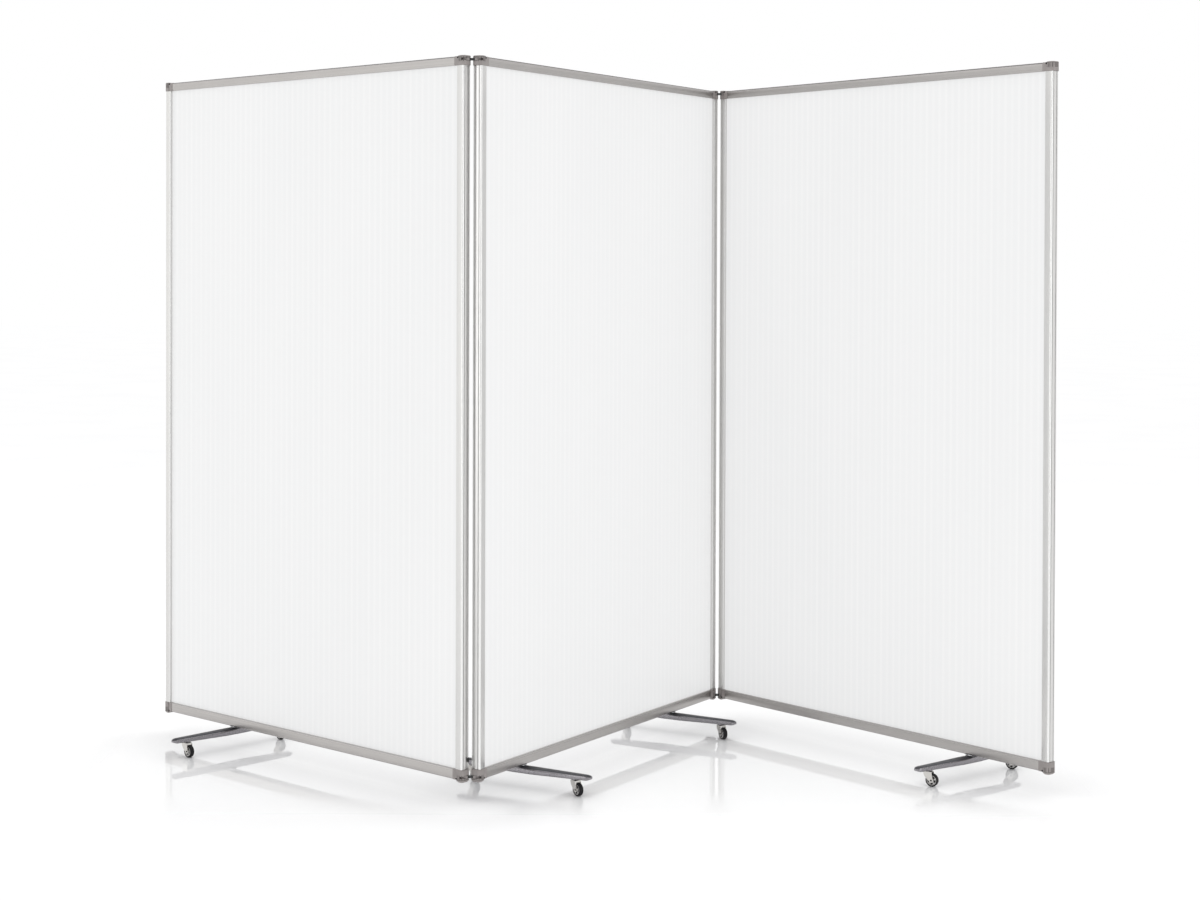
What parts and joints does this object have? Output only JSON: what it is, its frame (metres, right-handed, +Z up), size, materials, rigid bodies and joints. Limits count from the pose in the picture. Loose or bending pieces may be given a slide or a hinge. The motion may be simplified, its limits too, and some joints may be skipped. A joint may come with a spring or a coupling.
{
  "type": "folding room divider",
  "caption": "Folding room divider on casters: fluted translucent sheets in aluminium frames, joined by double-pivot link hinges and carried by cross legs.",
  "frame": {"origin": "on the floor, under the centre of the whole part's box in the stored zig-zag pose", "axes": "+Z up; +X along the zig-zag from the left panel's free end to the right panel's free end; +Y away from the side that the middle panel's front face looks to"},
  "size_m": [2.3622, 1.066, 1.831],
  "materials": {
    "frame_aluminium": "satin anodised, fine lengthwise brushing",
    "opal_sheet": "translucent white twin-wall sheet with vertical flutes",
    "cap_plastic": "fine moulded texture, warm grey",
    "hinge_black": "black, semi-matt",
    "leg_plastic": "dark grey moulded, slight sheen",
    "zinc_steel": "zinc plated",
    "caster_chrome": "bright plated pressing",
    "caster_wheel": "black tyre on a silver spoked hub",
    "bumper_rubber": "matt black"
  },
  "bodies": {
    "middle_panel": {"middle_panel_sheet": "opal_sheet", "middle_panel_left_stile": "frame_aluminium", "middle_panel_right_stile": "frame_aluminium", "middle_panel_top_rail": "frame_aluminium", "middle_panel_bottom_rail": "frame_aluminium", "middle_panel_cap_top_left": "cap_plastic", "middle_panel_cap_top_right": "cap_plastic", "middle_panel_cap_bottom_left": "cap_plastic", "middle_panel_cap_bottom_right": "cap_plastic", "middle_leg_left": "leg_plastic", "middle_leg_left_spacer": "zinc_steel", "middle_leg_left_bolt": "zinc_steel", "middle_leg_right": "leg_plastic", "middle_leg_right_spacer": "zinc_steel", "middle_leg_right_bolt": "zinc_steel"},
    "left_link": {"left_hinge_top_link": "hinge_black", "left_hinge_bottom_link": "hinge_black"},
    "left_panel": {"left_panel_sheet": "opal_sheet", "left_panel_left_stile": "frame_aluminium", "left_panel_right_stile": "frame_aluminium", "left_panel_top_rail": "frame_aluminium", "left_panel_bottom_rail": "frame_aluminium", "left_panel_cap_top_left": "cap_plastic", "left_panel_cap_top_right": "cap_plastic", "left_panel_cap_bottom_left": "cap_plastic", "left_panel_cap_bottom_right": "cap_plastic", "left_leg": "leg_plastic", "left_leg_spacer": "zinc_steel", "left_leg_bolt": "zinc_steel", "hinge_bumper": "bumper_rubber"},
    "right_link": {"right_hinge_top_link": "hinge_black", "right_hinge_bottom_link": "hinge_black"},
    "right_panel": {"right_panel_sheet": "opal_sheet", "right_panel_left_stile": "frame_aluminium", "right_panel_right_stile": "frame_aluminium", "right_panel_top_rail": "frame_aluminium", "right_panel_bottom_rail": "frame_aluminium", "right_panel_cap_top_left": "cap_plastic", "right_panel_cap_top_right": "cap_plastic", "right_panel_cap_bottom_left": "cap_plastic", "right_panel_cap_bottom_right": "cap_plastic", "right_leg": "leg_plastic", "right_leg_spacer": "zinc_steel", "right_leg_bolt": "zinc_steel"},
    "left_leg_front_swivel": {"left_leg_front_fork": "caster_chrome"},
    "left_leg_front_wheel": {"left_leg_front_wheel": "caster_wheel"},
    "left_leg_back_swivel": {"left_leg_back_fork": "caster_chrome"},
    "left_leg_back_wheel": {"left_leg_back_wheel": "caster_wheel"},
    "middle_leg_left_front_swivel": {"middle_leg_left_front_fork": "caster_chrome"},
    "middle_leg_left_front_wheel": {"middle_leg_left_front_wheel": "caster_wheel"},
    "middle_leg_left_back_swivel": {"middle_leg_left_back_fork": "caster_chrome"},
    "middle_leg_left_back_wheel": {"middle_leg_left_back_wheel": "caster_wheel"},
    "middle_leg_right_front_swivel": {"middle_leg_right_front_fork": "caster_chrome"},
    "middle_leg_right_front_wheel": {"middle_leg_right_front_wheel": "caster_wheel"},
    "middle_leg_right_back_swivel": {"middle_leg_right_back_fork": "caster_chrome"},
    "middle_leg_right_back_wheel": {"middle_leg_right_back_wheel": "caster_wheel"},
    "right_leg_front_swivel": {"right_leg_front_fork": "caster_chrome"},
    "right_leg_front_wheel": {"right_leg_front_wheel": "caster_wheel"},
    "right_leg_back_swivel": {"right_leg_back_fork": "caster_chrome"},
    "right_leg_back_wheel": {"right_leg_back_wheel": "caster_wheel"}
  },
  "joints": [
    {"name": "left_hinge_inner_pivot", "type": "hinge", "parent": "middle_panel", "child": "left_link", "pos_m": [-0.25374, -0.51357, 1.8218], "axis": [0, 0, 1], "range_deg": [-39, 96]},
    {"name": "left_hinge_outer_pivot", "type": "hinge", "parent": "left_link", "child": "left_panel", "pos_m": [-0.28891, -0.51839, 1.8218], "axis": [0, 0, 1], "range_deg": [-39, 96]},
    {"name": "right_hinge_inner_pivot", "type": "hinge", "parent": "middle_panel", "child": "right_link", "pos_m": [0.36997, 0.51629, 1.8218], "axis": [0, 0, 1], "range_deg": [-35.2, 99.8]},
    {"name": "right_hinge_outer_pivot", "type": "hinge", "parent": "right_link", "child": "right_panel", "pos_m": [0.40538, 0.51876, 1.8218], "axis": [0, 0, 1], "range_deg": [-35.2, 99.8]},
    {"name": "left_leg_front_swivel", "type": "hinge", "parent": "left_panel", "child": "left_leg_front_swivel", "pos_m": [-1.06202, -0.00502, 0.037], "axis": [0, 0, 1], "continuous": true},
    {"name": "left_leg_front_roll", "type": "hinge", "parent": "left_leg_front_swivel", "child": "left_leg_front_wheel", "pos_m": [-1.05411, -0.01266, 0.01636], "axis": [0.6947, 0.7193, 0], "continuous": true},
    {"name": "left_leg_back_swivel", "type": "hinge", "parent": "left_panel", "child": "left_leg_back_swivel", "pos_m": [-0.84981, 0.22096, 0.037], "axis": [0, 0, 1], "continuous": true},
    {"name": "left_leg_back_roll", "type": "hinge", "parent": "left_leg_back_swivel", "child": "left_leg_back_wheel", "pos_m": [-0.8419, 0.21332, 0.01636], "axis": [0.6947, 0.7193, 0], "continuous": true},
    {"name": "middle_leg_left_front_swivel", "type": "hinge", "parent": "middle_panel", "child": "middle_leg_left_front_swivel", "pos_m": [-0.01444, -0.41766, 0.037], "axis": [0, 0, 1], "continuous": true},
    {"name": "middle_leg_left_front_roll", "type": "hinge", "parent": "middle_leg_left_front_swivel", "child": "middle_leg_left_front_wheel", "pos_m": [-0.00798, -0.42656, 0.01636], "axis": [0.809, 0.5878, 0], "continuous": true},
    {"name": "middle_leg_left_back_swivel", "type": "hinge", "parent": "middle_panel", "child": "middle_leg_left_back_swivel", "pos_m": [-0.2796, -0.25707, 0.037], "axis": [0, 0, 1], "continuous": true},
    {"name": "middle_leg_left_back_roll", "type": "hinge", "parent": "middle_leg_left_back_swivel", "child": "middle_leg_left_back_wheel", "pos_m": [-0.27314, -0.26597, 0.01636], "axis": [0.809, 0.5878, 0], "continuous": true},
    {"name": "middle_leg_right_front_swivel", "type": "hinge", "parent": "middle_panel", "child": "middle_leg_right_front_swivel", "pos_m": [0.38496, 0.24183, 0.037], "axis": [0, 0, 1], "continuous": true},
    {"name": "middle_leg_right_front_roll", "type": "hinge", "parent": "middle_leg_right_front_swivel", "child": "middle_leg_right_front_wheel", "pos_m": [0.38995, 0.23203, 0.01636], "axis": [0.891, 0.454, 0], "continuous": true},
    {"name": "middle_leg_right_back_swivel", "type": "hinge", "parent": "middle_panel", "child": "middle_leg_right_back_swivel", "pos_m": [0.11979, 0.40241, 0.037], "axis": [0, 0, 1], "continuous": true},
    {"name": "middle_leg_right_back_roll", "type": "hinge", "parent": "middle_leg_right_back_swivel", "child": "middle_leg_right_back_wheel", "pos_m": [0.12479, 0.39261, 0.01636], "axis": [0.891, 0.454, 0], "continuous": true},
    {"name": "right_leg_front_swivel", "type": "hinge", "parent": "right_panel", "child": "right_leg_front_swivel", "pos_m": [0.88064, -0.3092, 0.037], "axis": [0, 0, 1], "continuous": true},
    {"name": "right_leg_front_roll", "type": "hinge", "parent": "right_leg_front_swivel", "child": "right_leg_front_wheel", "pos_m": [0.89035, -0.31436, 0.01636], "axis": [0.4695, 0.8829, 0], "continuous": true},
    {"name": "right_leg_back_swivel", "type": "hinge", "parent": "right_panel", "child": "right_leg_back_swivel", "pos_m": [1.12087, -0.11327, 0.037], "axis": [0, 0, 1], "continuous": true},
    {"name": "right_leg_back_roll", "type": "hinge", "parent": "right_leg_back_swivel", "child": "right_leg_back_wheel", "pos_m": [1.13058, -0.11843, 0.01636], "axis": [0.4695, 0.8829, 0], "continuous": true}
  ]
}
